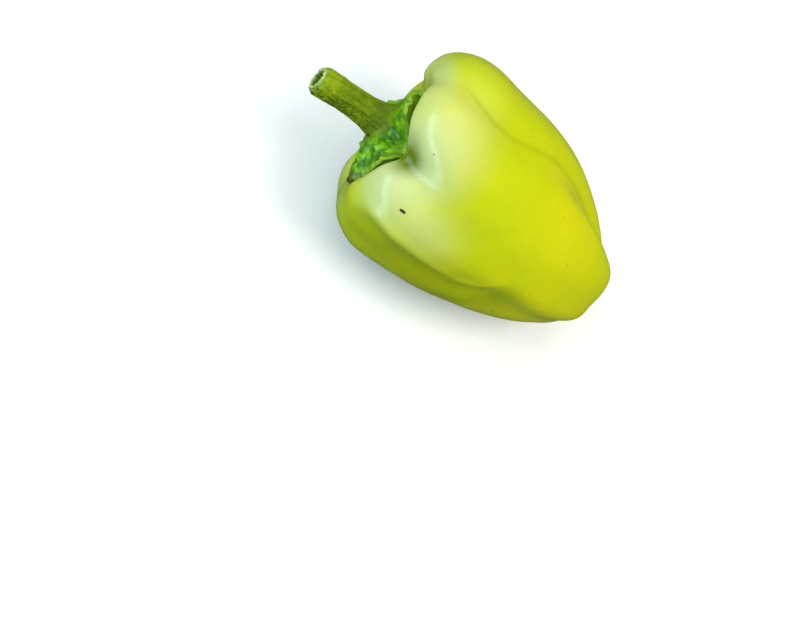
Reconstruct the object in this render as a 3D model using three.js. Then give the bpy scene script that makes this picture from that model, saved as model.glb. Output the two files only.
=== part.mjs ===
// A lime-green bell pepper, as picked, lying on its side on a flat surface.
// Millimetres, +Z up. The stem points to -X, the blossom end to +X.
//
// Each piece is first grown upright in the fruit's own frame: the core is the Z axis, the stem is
// up, and height 0 is the crest of the shoulders. The last section lays the pieces down together.
import * as THREE from "three";
import { ConvexHull } from "three/addons/math/ConvexHull.js";

// ---- Driving sizes -------------------------------------------------------------------------

const CLEARANCE = 0.35; // between neighbouring pieces
const PIT_CLEARANCE = 0.6; // calyx to pit, square to the plain outline, so less on the steep walls

const stemPit = { depth: 9 }; // hollow under the calyx
const rim = { radius: 23.5 }; // crest of the shoulders around the calyx
const belly = { radius: 38.4, depth: 20 }; // widest ring
const tips = { radius: 12.5, depth: 99 }; // ring of blossom-end lobes
const dimple = { depth: 9 }; // blossom pit, measured inwards from the tips

const calyx = { radius: 19.2, edgeThickness: 1.4, seatHeight: -0.6, seatMargin: 0.6, sweep: 1.3 };
const calyxWave = { points: 6, share: 0.07 }; // wavy edge, as a share of the radius
const calyxReach = { angle: -95, width: 50, share: 0.12 }; // where the calyx spreads further
const stem = { length: 28.5, footRadius: 6.6, neckRadius: 4.9, endRadius: 5.1, flareHeight: 4.5 };
const stemBend = 1.8; // how far the cut end stands aside
const stemHollow = { radius: 3.1, floorRadius: 2.4, depth: 2 };
const stemRim = 0.4; // bevel around the cut end
const stemRibs = { count: 5, depth: 0.35 };
const styleStub = { length: 3.2, baseRadius: 0.95, tipRadius: 0.5, lean: 0.8 };
const stubTaper = [[0.03, 0], [0.45, 0.6], [0.9, 1]]; // shares of the length and of the taper

const restFlat = { depth: 0.6 }; // how far the skin is pressed flat where the fruit lies
const restGuess = 195; // degrees around the core: the side that faces down, before it settles

// Five grooves part the five lobes. Each value runs down the fruit from stem end to blossom end:
// at the rim, the shoulder, the belly, the lower side and the tips. Angles are in degrees around
// the core, depths in millimetres.
const grooves = [
  { angle: [58, 46, 38, 50, 58], depth: [1.2, 2.4, 2.2, 2.6, 6.0], width: 12 },
  { angle: [-9, -13, -21, -27, -20], depth: [5.4, 6.0, 1.9, 0.5, 0.0], width: 15 },
  { angle: [-86, -77, -66, -50, -64], depth: [1.6, 1.6, 2.8, 2.6, 0.8], width: 15 },
  { angle: [-158, -160, -161, -160, -156], depth: [3.2, 3.8, 4.4, 4.0, 6.5], width: 15 },
  { angle: [127, 124, 122, 122, 120], depth: [6.0, 3.8, 2.6, 3.0, 6.0], width: 17 },
];

// Lobe i lies between groove i and groove i + 1, the last one between the last groove and the first.
// Its rise is the height of its crest at the rim, above or below height 0. Its swell is how far it
// stands out beyond the plain outline, at the same five places as the grooves.
const lobes = [
  { rise: 1.4, swell: [0.2, 0.6, 0.2, 0.3, 1.1] },
  { rise: -1.6, swell: [0.0, -0.6, 0.8, 0.9, 1.3] },
  { rise: -7.5, swell: [0.0, -1.2, 0.9, 0.8, 0.6] },
  { rise: -11.5, swell: [0.0, -1.2, 0.6, 0.4, 0.4] },
  { rise: -2.6, swell: [0.0, 0.8, 1.0, 1.9, -2.6] },
];
const riseShare = [0, 1, 0.5, 0.06, 0, 0, 0]; // how much of the rise is felt, from pole to pole
const lobeSpread = 0.45; // half width of a lobe's swelling, as a share of the angle it fills

// Numbers of facets.
const mesh = { columns: 88, bodyRowsPerSpan: 3, calyxSlopeRows: 8, calyxUnderRows: 10 };
const stemMesh = { columns: 30, wallRows: 14, crowding: 1.25 }; // crowding: closer rows at the foot
const stubColumns = 14;

// ---- Helpers -------------------------------------------------------------------------------

const degrees = THREE.MathUtils.degToRad;
const mix = THREE.MathUtils.lerp;

// Smooth value at share t (0 to 1) of a row of evenly spaced values.
function along(values, t) {
  const points = values.map((value) => new THREE.Vector2(value, 0));
  return new THREE.SplineCurve(points).getPoint(t).x;
}

// Signed angle from b to a, in degrees, between -180 and 180.
function turnBetween(a, b) {
  return THREE.MathUtils.euclideanModulo(a - b + 180, 360) - 180;
}

// A bell-shaped bump of height 1 at 0.
function bump(offset, width) {
  return Math.exp(-((offset / width) ** 2));
}

// A closed solid from meridians that run from a top pole, outwards and down, to a bottom pole.
// pointAt(angle, row) gives a point for an angle in degrees; rows 0 and rowCount are the poles.
function grow(columns, rowCount, pointAt) {
  const positions = [...pointAt(0, 0).toArray()];
  for (let row = 1; row < rowCount; row++) {
    for (let column = 0; column < columns; column++) {
      positions.push(...pointAt((column * 360) / columns, row).toArray());
    }
  }
  positions.push(...pointAt(0, rowCount).toArray());

  const vertex = (row, column) => 1 + (row - 1) * columns + (column % columns);
  const bottom = positions.length / 3 - 1;
  const index = [];
  for (let column = 0; column < columns; column++) {
    index.push(0, vertex(1, column), vertex(1, column + 1));
    for (let row = 1; row < rowCount - 1; row++) {
      const a = vertex(row, column);
      const b = vertex(row, column + 1);
      const c = vertex(row + 1, column);
      const d = vertex(row + 1, column + 1);
      index.push(a, c, d, a, d, b);
    }
    index.push(vertex(rowCount - 1, column), bottom, vertex(rowCount - 1, column + 1));
  }
  const geometry = new THREE.BufferGeometry();
  geometry.setAttribute("position", new THREE.Float32BufferAttribute(positions, 3));
  geometry.setIndex(index);
  geometry.computeVertexNormals();
  return geometry;
}

function around(angle, radius, height) {
  return new THREE.Vector3(
    radius * Math.cos(degrees(angle)),
    radius * Math.sin(degrees(angle)),
    height,
  );
}

function namedMesh(name, geometry, color, roughness) {
  const material = new THREE.MeshStandardMaterial({ color, roughness, metalness: 0 });
  const made = new THREE.Mesh(geometry, material);
  made.name = name;
  return made;
}

// ---- Fruit ---------------------------------------------------------------------------------

// Plain outline of half the fruit as [radius, height], with six equal spans of three steps:
// pit to rim, rim to shoulder, shoulder to belly, belly to lower side, lower side to tips, dimple.
const upper = (r, h) => [mix(rim.radius, belly.radius, r), -belly.depth * h];
const lower = (r, h) => [mix(belly.radius, tips.radius, r), -mix(belly.depth, tips.depth, h)];
const inner = (r, h) => [tips.radius * r, -tips.depth + dimple.depth * h];
const outline = [
  [0, -stemPit.depth],
  [rim.radius * 0.38, -stemPit.depth * 0.94],
  [rim.radius * 0.72, -stemPit.depth * 0.62],
  [rim.radius, 0],
  upper(0.3, 0.03),
  upper(0.61, 0.18),
  upper(0.84, 0.43),
  upper(0.96, 0.71),
  upper(1, 1),
  lower(0.03, 0.12),
  lower(0.075, 0.25),
  lower(0.145, 0.39),
  lower(0.25, 0.53),
  lower(0.39, 0.68),
  lower(0.63, 0.85),
  lower(0.94, 0.985),
  inner(0.64, 0.14),
  inner(0.29, 0.78),
  [0, -tips.depth + dimple.depth],
];
const outlineCurve = new THREE.CatmullRomCurve3(
  outline.map(([radius, height]) => new THREE.Vector3(radius, 0, height)),
  false,
  "centripetal",
);
const rimShare = 3 / (outline.length - 1);
const dimpleShare = 1 - 1 / (outline.length - 1);

// Grooves and swellings are nothing at the two poles.
const downTheFruit = (values, t) => along([0, ...values, 0], t);
const grooveAngle = (groove, t) => along([groove.angle[0], ...groove.angle, groove.angle[4]], t);

// Share of the outline, between two shares, where its radius passes the wanted one.
function shareAtRadius(wanted, innerShare, outerShare) {
  let inside = innerShare;
  let outside = outerShare;
  for (let step = 0; step < 30; step++) {
    const middle = (inside + outside) / 2;
    if (outlineCurve.getPoint(middle).x < wanted) inside = middle;
    else outside = middle;
  }
  return inside;
}

// How far the skin stands out from the plain outline, and how far it is raised, at an angle and a
// share t of the outline.
function relief(angle, t) {
  let out = 0;
  let up = 0;
  grooves.forEach((groove, i) => {
    const start = grooveAngle(groove, t);
    const next = grooveAngle(grooves[(i + 1) % grooves.length], t);
    const span = -turnBetween(next, start);
    const onLobe = bump(turnBetween(angle, start - span / 2), span * lobeSpread);
    out -= downTheFruit(groove.depth, t) * bump(turnBetween(angle, start), groove.width);
    out += downTheFruit(lobes[i].swell, t) * onLobe;
    up += lobes[i].rise * onLobe * along(riseShare, t);
  });
  return { out, up };
}

// A point of the fruit's skin, or standing `gap` from it.
function skinPoint(angle, t, gap = 0) {
  const point = outlineCurve.getPoint(t);
  const tangent = outlineCurve.getTangent(t);
  const { out, up } = relief(angle, t);
  const radius = t === 0 || t === 1 ? 0 : point.x - tangent.z * (out + gap);
  return around(angle, radius, point.z + tangent.x * (out + gap) + up);
}

function fruitGeometry() {
  const rows = (outline.length - 1) * mesh.bodyRowsPerSpan;
  return grow(mesh.columns, rows, (angle, row) => skinPoint(angle, row / rows));
}

// ---- Calyx: a fleshy cone with a wavy edge, lying on the floor and wall of the stem pit -----

function calyxGeometry() {
  const wave = (angle) =>
    1 +
    calyxWave.share * Math.cos(degrees(calyxWave.points * (angle - calyxReach.angle))) +
    calyxReach.share * bump(turnBetween(angle, calyxReach.angle), calyxReach.width);
  const edgeShare = (angle) => shareAtRadius(calyx.radius * wave(angle), 0, rimShare);
  const seatRadius = stem.footRadius + calyx.seatMargin;
  const edgeRow = mesh.calyxSlopeRows + 1;
  const lastRow = edgeRow + 1 + mesh.calyxUnderRows;
  const top = (angle, share) => {
    const edge = skinPoint(angle, edgeShare(angle), PIT_CLEARANCE + calyx.edgeThickness);
    const edgeRadius = Math.hypot(edge.x, edge.y);
    const height = mix(calyx.seatHeight, edge.z, share ** calyx.sweep);
    return around(angle, mix(seatRadius, edgeRadius, share), height);
  };
  const under = (angle, share) => skinPoint(angle, edgeShare(angle) * share, PIT_CLEARANCE);
  return grow(mesh.columns, lastRow, (angle, row) => {
    if (row === 0) return around(0, 0, calyx.seatHeight);
    if (row <= edgeRow) return top(angle, (row - 1) / mesh.calyxSlopeRows);
    return under(angle, (lastRow - row) / mesh.calyxUnderRows);
  });
}

// ---- Stem: a ribbed stalk with a flared foot and a hollow in its cut end --------------------

function stemGeometry() {
  const base = calyx.seatHeight + CLEARANCE;
  const profile = [
    [0, stem.length - stemHollow.depth],
    [stemHollow.floorRadius, stem.length - stemHollow.depth],
    [stemHollow.radius, stem.length],
    [stem.endRadius - stemRim, stem.length],
  ];
  for (let row = 0; row <= stemMesh.wallRows; row++) {
    const share = (1 - row / stemMesh.wallRows) ** stemMesh.crowding;
    const flare = Math.exp((-share * stem.length) / stem.flareHeight);
    const shaft = mix(stem.neckRadius, stem.endRadius, share ** 4);
    profile.push([mix(shaft, stem.footRadius, flare), share * (stem.length - stemRim)]);
  }
  profile.push([0, 0]);
  return grow(stemMesh.columns, profile.length - 1, (angle, row) => {
    const [radius, height] = profile[row];
    const ribDepth = radius > stemHollow.radius ? stemRibs.depth : 0;
    const rib = ribDepth * Math.cos(degrees(stemRibs.count * angle));
    const point = around(angle, radius + rib, base + height);
    point.y -= stemBend * (height / stem.length) ** 2;
    return point;
  });
}

// ---- Dried end of the style, in the blossom pit ---------------------------------------------

function styleStubGeometry() {
  const floor = skinPoint(0, shareAtRadius(styleStub.baseRadius, 1, dimpleShare));
  const base = floor.z - CLEARANCE;
  const wall = stubTaper.map(([share, taper]) => [
    mix(styleStub.baseRadius, styleStub.tipRadius, taper),
    -styleStub.length * share,
  ]);
  const profile = [[0, 0], ...wall, [0, -styleStub.length]];
  return grow(stubColumns, profile.length - 1, (angle, row) => {
    const [radius, height] = profile[row];
    const point = around(angle, radius, base + height);
    point.x += styleStub.lean * (height / styleStub.length) ** 2;
    return point;
  });
}

// ---- Laying the fruit down ------------------------------------------------------------------

// Centre of the volume inside a closed geometry.
function volumeCentre(geometry) {
  const at = geometry.getAttribute("position");
  const corners = [new THREE.Vector3(), new THREE.Vector3(), new THREE.Vector3()];
  const centre = new THREE.Vector3();
  const index = geometry.index.array;
  let total = 0;
  for (let i = 0; i < index.length; i += 3) {
    corners.forEach((corner, k) => corner.fromBufferAttribute(at, index[i + k]));
    const [a, b, c] = corners;
    const volume = a.dot(new THREE.Vector3().crossVectors(b, c)) / 6;
    total += volume;
    centre.addScaledVector(a, volume / 4).addScaledVector(b, volume / 4).addScaledVector(c, volume / 4);
  }
  return centre.divideScalar(total);
}

// The direction that points down, in the fruit's own frame, once the fruit has rolled to rest:
// the face of its hull straight below its centre stays the same.
function settledDown(geometry) {
  const at = geometry.getAttribute("position");
  const points = [];
  for (let i = 0; i < at.count; i++) points.push(new THREE.Vector3().fromBufferAttribute(at, i));
  const faces = new ConvexHull().setFromPoints(points).faces;
  const centre = volumeCentre(geometry);
  const reach = (face, down) => (face.constant - face.normal.dot(centre)) / face.normal.dot(down);
  let down = around(restGuess, 1, 0);
  let resting = null;
  for (let roll = 0; roll < 500; roll++) {
    const ahead = faces.filter((face) => face.normal.dot(down) > 1e-6);
    const below = ahead.reduce((near, face) => (reach(face, down) < reach(near, down) ? face : near));
    if (below === resting) break;
    resting = below;
    down = below.normal.clone();
  }
  return down;
}

// Presses the skin flat where it would go below the floor.
function pressFlat(geometry, down) {
  const at = geometry.getAttribute("position");
  const point = new THREE.Vector3();
  let lowest = -Infinity;
  for (let i = 0; i < at.count; i++) {
    lowest = Math.max(lowest, point.fromBufferAttribute(at, i).dot(down));
  }
  for (let i = 0; i < at.count; i++) {
    point.fromBufferAttribute(at, i);
    const sunk = point.dot(down) - (lowest - restFlat.depth);
    if (sunk > 0) point.addScaledVector(down, -sunk);
    at.setXYZ(i, point.x, point.y, point.z);
  }
}

// Turns the group so that `down` is -Z and the stem points to -X, and stands it on Z = 0, centred.
function layDown(group, down) {
  const stemward = new THREE.Vector3(0, 0, 1).addScaledVector(down, -down.z).normalize();
  const across = new THREE.Vector3().crossVectors(down, stemward);
  const own = new THREE.Matrix4().makeBasis(stemward, across, down);
  const laid = new THREE.Matrix4().makeBasis(
    new THREE.Vector3(-1, 0, 0),
    new THREE.Vector3(0, 1, 0),
    new THREE.Vector3(0, 0, -1),
  );
  group.quaternion.setFromRotationMatrix(laid.multiply(own.transpose()));
  const box = new THREE.Box3().setFromObject(group, true);
  const centre = box.getCenter(new THREE.Vector3());
  group.position.set(-centre.x, -centre.y, -box.min.z);
}

// ---- Assembly -------------------------------------------------------------------------------

const fruitSolid = fruitGeometry();
const down = settledDown(fruitSolid);
pressFlat(fruitSolid, down);

const pepper = new THREE.Group();
pepper.add(namedMesh("fruit_body", fruitSolid, "#c3d40c", 0.3));
pepper.add(namedMesh("calyx", calyxGeometry(), "#5a9c18", 0.45));
pepper.add(namedMesh("stem", stemGeometry(), "#6d8a12", 0.6));
pepper.add(namedMesh("style_stub", styleStubGeometry(), "#4a3a1c", 0.8));
layDown(pepper, down);

export default pepper;
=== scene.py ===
"""Looks of a lime-green bell pepper that lies on its side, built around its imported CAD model.

Lengths are in metres and angles in degrees. Shapes are worked out in the fruit's own frame: its
core is the axis, height 0 is the crest of the shoulders, heights grow towards the stem, and angles
run around the core.
"""

import logging
import math
from dataclasses import dataclass, field
from enum import Enum
from typing import Callable, ClassVar

import bmesh
import bpy
import numpy as np
from mathutils import Matrix, Vector, noise
from mathutils.bvhtree import BVHTree


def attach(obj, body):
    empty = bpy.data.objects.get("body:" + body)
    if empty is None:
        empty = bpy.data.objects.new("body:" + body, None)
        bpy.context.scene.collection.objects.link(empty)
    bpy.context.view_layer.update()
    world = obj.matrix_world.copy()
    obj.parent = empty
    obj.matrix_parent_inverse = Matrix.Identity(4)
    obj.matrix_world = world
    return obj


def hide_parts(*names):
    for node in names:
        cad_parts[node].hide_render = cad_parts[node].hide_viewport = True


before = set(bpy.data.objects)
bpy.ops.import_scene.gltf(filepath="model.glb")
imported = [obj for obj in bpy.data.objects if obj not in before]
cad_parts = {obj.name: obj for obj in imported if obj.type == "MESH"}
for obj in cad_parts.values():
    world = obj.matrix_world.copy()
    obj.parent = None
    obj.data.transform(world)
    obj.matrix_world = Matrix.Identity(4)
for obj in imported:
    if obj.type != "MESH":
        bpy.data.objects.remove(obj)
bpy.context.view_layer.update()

MM = 0.001
WELD = 1e-6  # vertices nearer to each other than this are merged
BODY = "root"
log = logging.getLogger("bell_pepper")

Colour = tuple[float, float, float, float]
Triple = tuple[float, float, float]
Span = tuple[float, float]  # two ends, mostly where an effect is 0 and where it is full
Side = tuple[float, float]  # middle of a side of the fruit, and how far off it falls to 1/e


class Slot(Enum):
    """Names of four material slots."""

    SKIN = "skin"
    CALYX = "calyx"
    STEM = "stem"
    STYLE = "dried_style"


def smoothstep(low: float, high: float, value: np.ndarray | float) -> np.ndarray | float:
    """Eases from 0 at `low` to 1 at `high`.

    Args:
        low: value at which the result is 0.
        high: value at which the result is 1.
        value: one number or an array.

    Returns:
        The eased share, between 0 and 1.
    """
    t = np.clip((value - low) / (high - low), 0.0, 1.0)
    return t * t * (3.0 - 2.0 * t)


def turn_between(a: np.ndarray | float, b: np.ndarray | float) -> np.ndarray | float:
    """Signed angle from b to a in degrees, between -180 and 180.

    Args:
        a: angle in degrees.
        b: angle in degrees.

    Returns:
        The difference, wrapped.
    """
    return (a - b + 180.0) % 360.0 - 180.0


def bump(offset: np.ndarray | float, width: float) -> np.ndarray | float:
    """Bell curve of height 1 at offset 0.

    Args:
        offset: distance from the middle.
        width: distance at which the curve falls to 1/e.

    Returns:
        The height of the curve.
    """
    return np.exp(-((offset / width) ** 2))


def facing(angle: np.ndarray | float, side: Side) -> np.ndarray | float:
    """How far places face one side of the fruit.

    Args:
        angle: angles of the places.
        side: the side.

    Returns:
        1 in the middle of the side, falling to 0 around it.
    """
    return bump(turn_between(angle, side[0]), side[1])


def around(
    angle: np.ndarray, radius: np.ndarray | float, height: np.ndarray | float
) -> np.ndarray:
    """Own positions of places around the core.

    Args:
        angle: their angles.
        radius: their distances from the core.
        height: their heights.

    Returns:
        N x 3 positions (ahead, across, height).
    """
    turn = np.radians(angle)
    return np.stack([radius * np.cos(turn), radius * np.sin(turn), height + 0.0 * turn], axis=1)


def polar(own: np.ndarray) -> tuple[np.ndarray, np.ndarray]:
    """Distances from the core and angles around it, of N x 3 own positions."""
    return np.hypot(own[:, 0], own[:, 1]), np.degrees(np.arctan2(own[:, 1], own[:, 0]))


@dataclass(frozen=True)
class Hills:
    """Smooth noise.

    Attributes:
        size: distance between neighbouring hills, in the unit of the points.
        seed: shift of the pattern, so that uses differ.
        height: height of the hills.
    """

    size: float
    seed: float
    height: float = 1.0

    def at(self, points: np.ndarray) -> np.ndarray:
        """Values at N x 3 points, roughly between -height and height."""
        shift = Vector((self.seed, 2.3 * self.seed, -1.7 * self.seed))
        return self.height * np.array([noise.noise(Vector(p) / self.size + shift) for p in points])


# ---- The fruit's own frame -----------------------------------------------------------------------


@dataclass
class FruitFrame:
    """Where the fruit lies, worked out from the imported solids.

    Attributes:
        pit_depth: depth of the stem pit's floor below the crest of the shoulders.
        up_angle: the angle around the core, in degrees, that faces straight up as the fruit lies.
    """

    pit_depth: float = 9.0 * MM
    up_angle: float = 19.0
    crest: Vector = field(init=False)
    core: Vector = field(init=False)
    ahead: Vector = field(init=False)
    across: Vector = field(init=False)

    def __post_init__(self) -> None:
        """Finds the core from the two poles of the body's mesh."""
        stem_pole, blossom_pole = self._poles()
        self.core = (stem_pole - blossom_pole).normalized()
        self.crest = stem_pole + self.core * self.pit_depth
        up = Vector((0.0, 0.0, 1.0))
        skyward = (up - self.core * up.dot(self.core)).normalized()
        self.ahead = Matrix.Rotation(-math.radians(self.up_angle), 3, self.core) @ skyward
        self.across = self.core.cross(self.ahead)

    @staticmethod
    def _poles() -> tuple[Vector, Vector]:
        """Finds the vertices in which the most edges meet.

        Returns:
            The pole at the stem end and the pole at the blossom end.
        """
        mesh = bmesh.new()
        mesh.from_mesh(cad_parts["fruit_body"].data)
        bmesh.ops.remove_doubles(mesh, verts=mesh.verts, dist=WELD)
        busiest = sorted(mesh.verts, key=lambda vertex: len(vertex.link_edges))[-2:]
        ends = sorted((vertex.co.copy() for vertex in busiest), key=lambda point: point.x)
        mesh.free()
        return ends[0], ends[1]

    def place(self, own: np.ndarray) -> np.ndarray:
        """Own positions to world positions.

        Args:
            own: N x 3 positions (ahead, across, height).

        Returns:
            N x 3 world positions.
        """
        axes = np.array([self.ahead, self.across, self.core])
        return own @ axes + np.array(self.crest)

    def own(self, world: np.ndarray) -> np.ndarray:
        """World positions to own positions.

        Args:
            world: N x 3 world positions.

        Returns:
            N x 3 positions (ahead, across, height).
        """
        axes = np.array([self.ahead, self.across, self.core])
        return (world - np.array(self.crest)) @ axes.T


@dataclass(frozen=True)
class LineDown:
    """A line that runs down the fruit's skin.

    Attributes:
        heights: heights of its points, from the stem end down, in metres.
        angles: angles of its points around the core, in degrees.
    """

    heights: tuple[float, ...]
    angles: tuple[float, ...]

    def away(self, angle: np.ndarray, height: np.ndarray, radius: np.ndarray) -> np.ndarray:
        """How far places lie from the line, measured around the core.

        Args:
            angle: angles of the places in degrees.
            height: their heights.
            radius: their distances from the core.

        Returns:
            Distances in metres, positive on the side of greater angles.
        """
        path = np.interp(-height, [-h for h in self.heights], self.angles)
        return np.radians(turn_between(angle, path)) * radius


# ---- Mesh helpers --------------------------------------------------------------------------------


def add_object(name: str, data: bpy.types.ID) -> bpy.types.Object:
    """Makes an object and links it to the scene.

    Args:
        name: the object's name.
        data: its mesh, light or camera.

    Returns:
        The object.
    """
    piece = bpy.data.objects.new(name, data)
    bpy.context.scene.collection.objects.link(piece)
    return piece


def shade_smooth(mesh: bpy.types.Mesh) -> None:
    """Shades all of a mesh's faces smooth."""
    mesh.polygons.foreach_set("use_smooth", [True] * len(mesh.polygons))


def grown_mesh(
    name: str,
    columns: int,
    rows: int,
    ring_at: Callable[[np.ndarray, int], np.ndarray],
    home: FruitFrame,
) -> bpy.types.Object:
    """Makes a closed mesh from rings that run from a top pole, outwards and down, to a bottom pole.

    Args:
        name: the piece's name.
        columns: number of points in a ring.
        rows: number of the last row; rows 0 and `rows` are the poles.
        ring_at: gives a ring's N x 3 own positions for its angles in degrees and its row.
        home: the fruit's frame.

    Returns:
        The new object, linked to the scene.
    """
    angles = np.arange(columns) * 360.0 / columns
    rings = [ring_at(angles, row) for row in range(1, rows)]
    top = ring_at(angles, 0).mean(axis=0, keepdims=True)
    bottom = ring_at(angles, rows).mean(axis=0, keepdims=True)
    points = home.place(np.concatenate([top, *rings, bottom]))
    last = len(points) - 1
    faces: list[tuple[int, ...]] = []
    for i in range(columns):
        j = (i + 1) % columns
        faces.append((0, 1 + i, 1 + j))
        for row in range(rows - 2):
            here = 1 + row * columns
            below = here + columns
            faces.append((here + i, below + i, below + j, here + j))
        foot = 1 + (rows - 2) * columns
        faces.append((foot + i, last, foot + j))
    mesh = bpy.data.meshes.new(name)
    mesh.from_pydata([tuple(p) for p in points], [], faces)
    shade_smooth(mesh)
    return add_object(name, mesh)


def per_vertex(mesh: bpy.types.Mesh, what: str) -> np.ndarray:
    """Reads three numbers for each of a mesh's vertices.

    Args:
        mesh: the mesh.
        what: "co" for the positions, or "normal".

    Returns:
        N x 3 values.
    """
    flat = np.empty(len(mesh.vertices) * 3)
    mesh.vertices.foreach_get(what, flat)
    return flat.reshape(-1, 3)


def write_positions(mesh: bpy.types.Mesh, points: np.ndarray) -> None:
    """Writes an N x 3 array of vertex positions back to a mesh."""
    mesh.vertices.foreach_set("co", points.ravel())
    mesh.update()


def paint(mesh: bpy.types.Mesh, name: str, values: np.ndarray) -> None:
    """Stores one value per vertex, for a material to read.

    Args:
        mesh: the mesh.
        name: the attribute's name.
        values: one number for each vertex.
    """
    layer = mesh.attributes.new(name, "FLOAT", "POINT")
    layer.data.foreach_set("value", np.asarray(values, dtype=np.float32))


def evaluated_copy(piece: bpy.types.Object, name: str) -> bpy.types.Mesh:
    """Takes the mesh that an object's modifiers make.

    Args:
        piece: the object with live modifiers.
        name: the name of the new mesh.

    Returns:
        A plain mesh.
    """
    graph = bpy.context.evaluated_depsgraph_get()
    mesh = bpy.data.meshes.new_from_object(piece.evaluated_get(graph), depsgraph=graph)
    mesh.name = name
    return mesh


# ---- Materials -----------------------------------------------------------------------------------


class NodeBench:
    """Adds and joins nodes in one node tree."""

    def __init__(self, tree: bpy.types.NodeTree) -> None:
        """Keeps the tree.

        Args:
            tree: the shader or geometry tree to build in.
        """
        self.tree = tree

    def add(self, kind: str, **settings: object) -> bpy.types.Node:
        """Adds a node.

        Args:
            kind: the node's type name.
            settings: attributes to set on it.

        Returns:
            The node.
        """
        node = self.tree.nodes.new(kind)
        for key, value in settings.items():
            setattr(node, key, value)
        return node

    def feed(self, target: bpy.types.NodeSocket, source: object) -> None:
        """Joins a socket to a source, or sets its value.

        Args:
            target: the input socket.
            source: an output socket, or a plain value.
        """
        if isinstance(source, bpy.types.NodeSocket):
            self.tree.links.new(source, target)
        else:
            target.default_value = source

    def math(
        self, operation: str, a: object, b: object, clamp: bool = False
    ) -> bpy.types.NodeSocket:
        """Adds a Math node.

        Args:
            operation: name of the operation.
            a: first input.
            b: second input.
            clamp: whether to keep the result between 0 and 1.

        Returns:
            Its output.
        """
        node = self.add("ShaderNodeMath", operation=operation, use_clamp=clamp)
        self.feed(node.inputs[0], a)
        self.feed(node.inputs[1], b)
        return node.outputs[0]

    def blend(self, share: object, a: object, b: object) -> bpy.types.NodeSocket:
        """Adds a colour Mix node.

        Args:
            share: how much of b shows.
            a: first colour.
            b: second colour.

        Returns:
            The mixed colour.
        """
        node = self.add("ShaderNodeMix", data_type="RGBA", blend_type="MIX")
        self.feed(node.inputs["Factor"], share)
        self.feed(node.inputs[6], a)
        self.feed(node.inputs[7], b)
        return node.outputs[2]

    def ease(
        self, value: object, low: object, high: object, to_low: float = 0.0, to_high: float = 1.0
    ) -> bpy.types.NodeSocket:
        """Adds a smooth Map Range node.

        Args:
            value: the input.
            low: input that gives to_low.
            high: input that gives to_high.
            to_low: lower result.
            to_high: upper result.

        Returns:
            Its output.
        """
        node = self.add("ShaderNodeMapRange", interpolation_type="SMOOTHSTEP")
        for index, item in enumerate((value, low, high, to_low, to_high)):
            self.feed(node.inputs[index], item)
        return node.outputs[0]

    def attribute(self, name: str) -> bpy.types.NodeSocket:
        """Reads a vertex value that `paint` stored."""
        return self.add("ShaderNodeAttribute", attribute_name=name).outputs["Fac"]

    def cloud(self, place: object, scale: object, detail: float) -> bpy.types.NodeSocket:
        """Adds a Noise Texture.

        Args:
            place: where the noise is read.
            scale: hills per metre.
            detail: how many finer layers it has.

        Returns:
            Its value.
        """
        node = self.add("ShaderNodeTexNoise")
        for name, source in (("Vector", place), ("Scale", scale), ("Detail", detail)):
            self.feed(node.inputs[name], source)
        return node.outputs[0]

    def effect(self, group: bpy.types.NodeTree, **values: float) -> bpy.types.bpy_prop_collection:
        """Places a shared effect.

        Args:
            group: the effect's node group.
            values: a value for each of its inputs.

        Returns:
            Its outputs.
        """
        node = self.add("ShaderNodeGroup", node_tree=group)
        for name, value in values.items():
            node.inputs[name].default_value = value
        return node.outputs


# ---- Shared effects ------------------------------------------------------------------------------


def new_effect(
    name: str, inputs: tuple[str, ...], outputs: tuple[str, ...]
) -> bpy.types.ShaderNodeTree:
    """Makes a shader node group whose sockets are all plain numbers.

    Args:
        name: the group's name.
        inputs: names of its inputs.
        outputs: names of its outputs.

    Returns:
        The group, still without nodes.
    """
    group = bpy.data.node_groups.new(name, "ShaderNodeTree")
    for names, way in ((inputs, "INPUT"), (outputs, "OUTPUT")):
        for item in names:
            group.interface.new_socket(item, in_out=way, socket_type="NodeSocketFloat")
    return group


def shifted_place(bench: NodeBench, shift: bpy.types.NodeSocket) -> bpy.types.NodeSocket:
    """Moves Object coordinates.

    Args:
        bench: an effect's nodes.
        shift: the effect's Shift input.

    Returns:
        The moved coordinates.
    """
    moved = bench.add("ShaderNodeVectorMath", operation="ADD")
    bench.feed(moved.inputs[0], bench.add("ShaderNodeTexCoord").outputs["Object"])
    bench.feed(moved.inputs[1], shift)
    return moved.outputs[0]


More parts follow.
